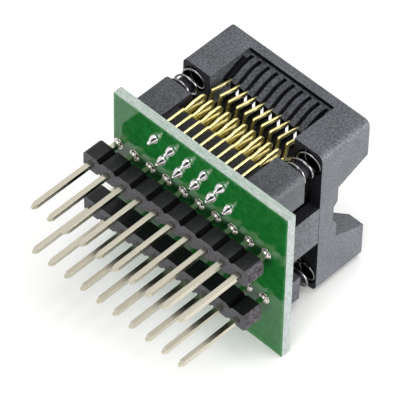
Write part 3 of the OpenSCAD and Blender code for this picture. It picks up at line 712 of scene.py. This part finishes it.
for side in ("front", "rear"):
    node = f"{side}_header_strip"
    bm = merged_copy(node)
    soften(bm, strip_rounding)
    bm.normal_update()
    reach = max(v.co.x for v in bm.verts)
    low, high = box_mm(node)
    for axis in (1, 2):
        for step in range(1, int((high[axis] - low[axis]) / torn_step)):
            torn = end_faces(bm, reach)
            rims = {e for f in torn for e in f.edges}
            points = {v for f in torn for v in f.verts}
            cut_flat(bm, [*torn, *rims, *points], axis, low[axis] + step * torn_step)
    bm.normal_update()
    for face in bm.faces:
        face.material_index = strip_finish_at(face, reach)
    torn = set(end_faces(bm, reach))
    inner = {v for f in torn for v in f.verts if all(g in torn for g in v.link_faces)}
    for vert in inner:
        vert.co.x -= math.copysign(torn_depth * bite_at(vert.co), vert.co.x)
    piece = place_piece(bm, f"{side}_strip", "adapter", "header_plastic", strip_finishes, node)
    print(piece.name, "torn faces:", len(torn), "moved points:", len(inner))

# %% [markdown]
# ## Pins, contacts and levers
# The pins are square drawn wire with pressed points, the contacts and levers are stamped from thin sheet.
# Their edges are broken only a little, so the bevel is a few hundredths of a millimetre wide. The ends of
# the contacts that stick out under the board have been through the solder bath, so they are silvery.

# %% Header pins
pin_rounding = 0.02
pin_sharp = 20        # the pressed points turn less than a corner does
pin_smooth = 4        # flat sides must mirror like flat sides

for side in ("front", "rear"):
    bm = merged_copy(f"{side}_header_pins")
    soften(bm, pin_rounding, sharp=pin_sharp)
    piece = place_piece(bm, f"{side}_pins", "adapter", "pin_metal", [tin_finish], f"{side}_header_pins",
                        smooth_below=pin_smooth)
    print(piece.name, "faces:", len(piece.data.polygons))

# %% Contacts and levers
ways = 10
sheet_rounding = 0.08
sheet_finishes = [gold_finish, solder_finish]
board_under = box_mm("circuit_board")[0].z

for side in ("front", "rear"):
    for way in range(1, ways + 1):
        for node, body in ((f"contact_{side}_{way}", "adapter"), (f"lever_{side}_{way}", f"{side}_levers")):
            bm = merged_copy(node)
            cut_flat(bm, [*bm.verts, *bm.edges, *bm.faces], 2, board_under)
            for face in bm.faces:
                face.material_index = int(face.calc_center_median().z < board_under)
            soften(bm, sheet_rounding, segments=3)
            piece = place_piece(bm, f"sheet_{node}", body, "contact_metal", sheet_finishes, node)
    print(side, "contacts and levers:", 2 * ways, "faces in the last:", len(piece.data.polygons))

# %% [markdown]
# ## Solder
# Melted solder wets the pin and the pad and freezes in a hollow curve, low at its rim and steep at the
# pin, which shows as a bright ring. A joint round a pin is one such curve turned about the pin with
# `spin`. The socket's thin tails stick out less, so there the solder covers the tail and draws out to a
# point, like a drop. Each copy is turned and scaled a little, as no two joints are alike.

# %% One turned joint
joint_steps = 24


def turned_joint(profile):
    """A mesh turned about Z from a profile of (radius, depth below the board) points, in millimetres."""
    bm = bmesh.new()
    line = [bm.verts.new((radius, 0, -depth)) for radius, depth in profile]
    edges = [bm.edges.new(pair) for pair in zip(line, line[1:])]
    bmesh.ops.spin(bm, geom=line + edges, cent=(0, 0, 0), axis=(0, 0, 1), angle=math.tau, steps=joint_steps,
                   use_merge=True)
    bmesh.ops.remove_doubles(bm, verts=bm.verts, dist=weld)
    bmesh.ops.recalc_face_normals(bm, faces=bm.faces)
    return mesh_from(bm, "joint")


pin_joint = turned_joint([(0, -0.01), (0.74, -0.01), (0.74, 0.02), (0.725, 0.055), (0.69, 0.075),
                          (0.63, 0.085), (0.56, 0.10), (0.50, 0.14), (0.46, 0.21), (0.44, 0.29),
                          (0.42, 0.36), (0, 0.37)])
tail_joint = turned_joint([(0, -0.01), (0.64, -0.01), (0.64, 0.04), (0.62, 0.16), (0.56, 0.32),
                           (0.47, 0.49), (0.37, 0.66), (0.28, 0.83), (0.21, 1.0), (0.15, 1.12),
                           (0.08, 1.19), (0, 1.21)])
print("joint faces:", len(pin_joint.polygons), len(tail_joint.polygons))

# %% Place the joints
pin_pitch = 2.54
pin_row = 3.81
tail_pitch = 1.27
tail_rows = (9.144, 6.604)      # odd tails lie in the outer row, even ones in the inner row
ring_spread = 0.05
drop_spread = 0.08
round_smooth = 50     # turned and wound shapes are shaded smooth up to this angle
rng = random.Random(20)


def lay_joints(joint, places, spread):
    """One bmesh with a copy of the joint at each place, turned and scaled by chance."""
    bm = bmesh.new()
    for x, y in places:
        old = set(bm.verts)
        bm.from_mesh(joint)
        fresh = [v for v in bm.verts if v not in old]
        bmesh.ops.rotate(bm, cent=(0, 0, 0), verts=fresh,
                         matrix=Matrix.Rotation(rng.uniform(0, math.tau), 3, "Z"))
        size = [1 + rng.uniform(-spread, spread) for _ in range(3)]
        bmesh.ops.scale(bm, vec=(size[0], size[1], min(size[2], 1.0)), verts=fresh)
        bmesh.ops.translate(bm, vec=(x, y, board_under), verts=fresh)
    return bm


for side, sign in (("front", -1), ("rear", 1)):
    middle = (ways + 1) / 2
    pins = [((way - middle) * pin_pitch, sign * pin_row) for way in range(1, ways + 1)]
    tails = [((way - middle) * tail_pitch, sign * tail_rows[(way + 1) % 2]) for way in range(1, ways + 1)]
    rings = place_piece(lay_joints(pin_joint, pins, ring_spread), f"{side}_pin_joints", "adapter", "solder",
                        [fluxed_finish], f"{side}_header_solder", smooth_below=round_smooth)
    drops = place_piece(lay_joints(tail_joint, tails, drop_spread), f"{side}_tail_joints", "adapter",
                        "solder", [solder_finish], f"{side}_tail_solder", smooth_below=round_smooth)
    print(rings.name, len(rings.data.polygons), drops.name, len(drops.data.polygons))

# %% [markdown]
# ## Coil springs
# Four steel springs hold the cover up. A spring is a round wire wound on a rod: a small circle is spun
# about the rod's axis, and `dvec` lifts it a little at each step, which makes a screw. The first and the
# last turn lie almost flat, so that the spring stands square.

# %% Wind the springs
wire_d = 0.28
coil_d = 2.9
flat_rise = 0.294
open_turns = 5
turn_steps = 28
wire_sides = 10

for node in ("cover_spring_front_left", "cover_spring_front_right", "cover_spring_rear_left",
             "cover_spring_rear_right"):
    low, high = box_mm(node)
    axis_x, axis_y = (low.x + high.x) / 2, (low.y + high.y) / 2
    height = high.z - low.z
    open_rise = (height - wire_d - 2 * flat_rise) / open_turns
    bm = bmesh.new()
    bmesh.ops.create_circle(bm, cap_ends=False, segments=wire_sides, radius=wire_d / 2)
    bmesh.ops.rotate(bm, cent=(0, 0, 0), matrix=Matrix.Rotation(quarter_turn, 3, "X"), verts=bm.verts)
    bmesh.ops.translate(bm, vec=(axis_x + coil_d / 2, axis_y, low.z + wire_d / 2), verts=bm.verts)
    winding = list(bm.verts) + list(bm.edges)
    for rise in [flat_rise] + [open_rise] * open_turns + [flat_rise]:
        wound = bmesh.ops.spin(bm, geom=winding, cent=(axis_x, axis_y, 0), axis=(0, 0, 1),
                               dvec=(0, 0, rise / turn_steps), angle=math.tau, steps=turn_steps)
        winding = wound["geom_last"]
    bmesh.ops.remove_doubles(bm, verts=bm.verts, dist=weld)
    bmesh.ops.holes_fill(bm, edges=[e for e in bm.edges if e.is_boundary], sides=wire_sides)
    bmesh.ops.recalc_face_normals(bm, faces=bm.faces)
    spring = place_piece(bm, node.replace("cover_spring", "wound_spring"), "adapter", "spring_steel",
                         [steel_finish], node, smooth_below=round_smooth)
    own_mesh(spring)
    print(spring.name, "faces:", len(spring.data.polygons), "height in mm:", round(height, 2))

# %% [markdown]
# ## The view transform
# The view transform is set to Standard, so that a colour comes out as it is written.

# %% Finish
scene.view_settings.view_transform = "Standard"
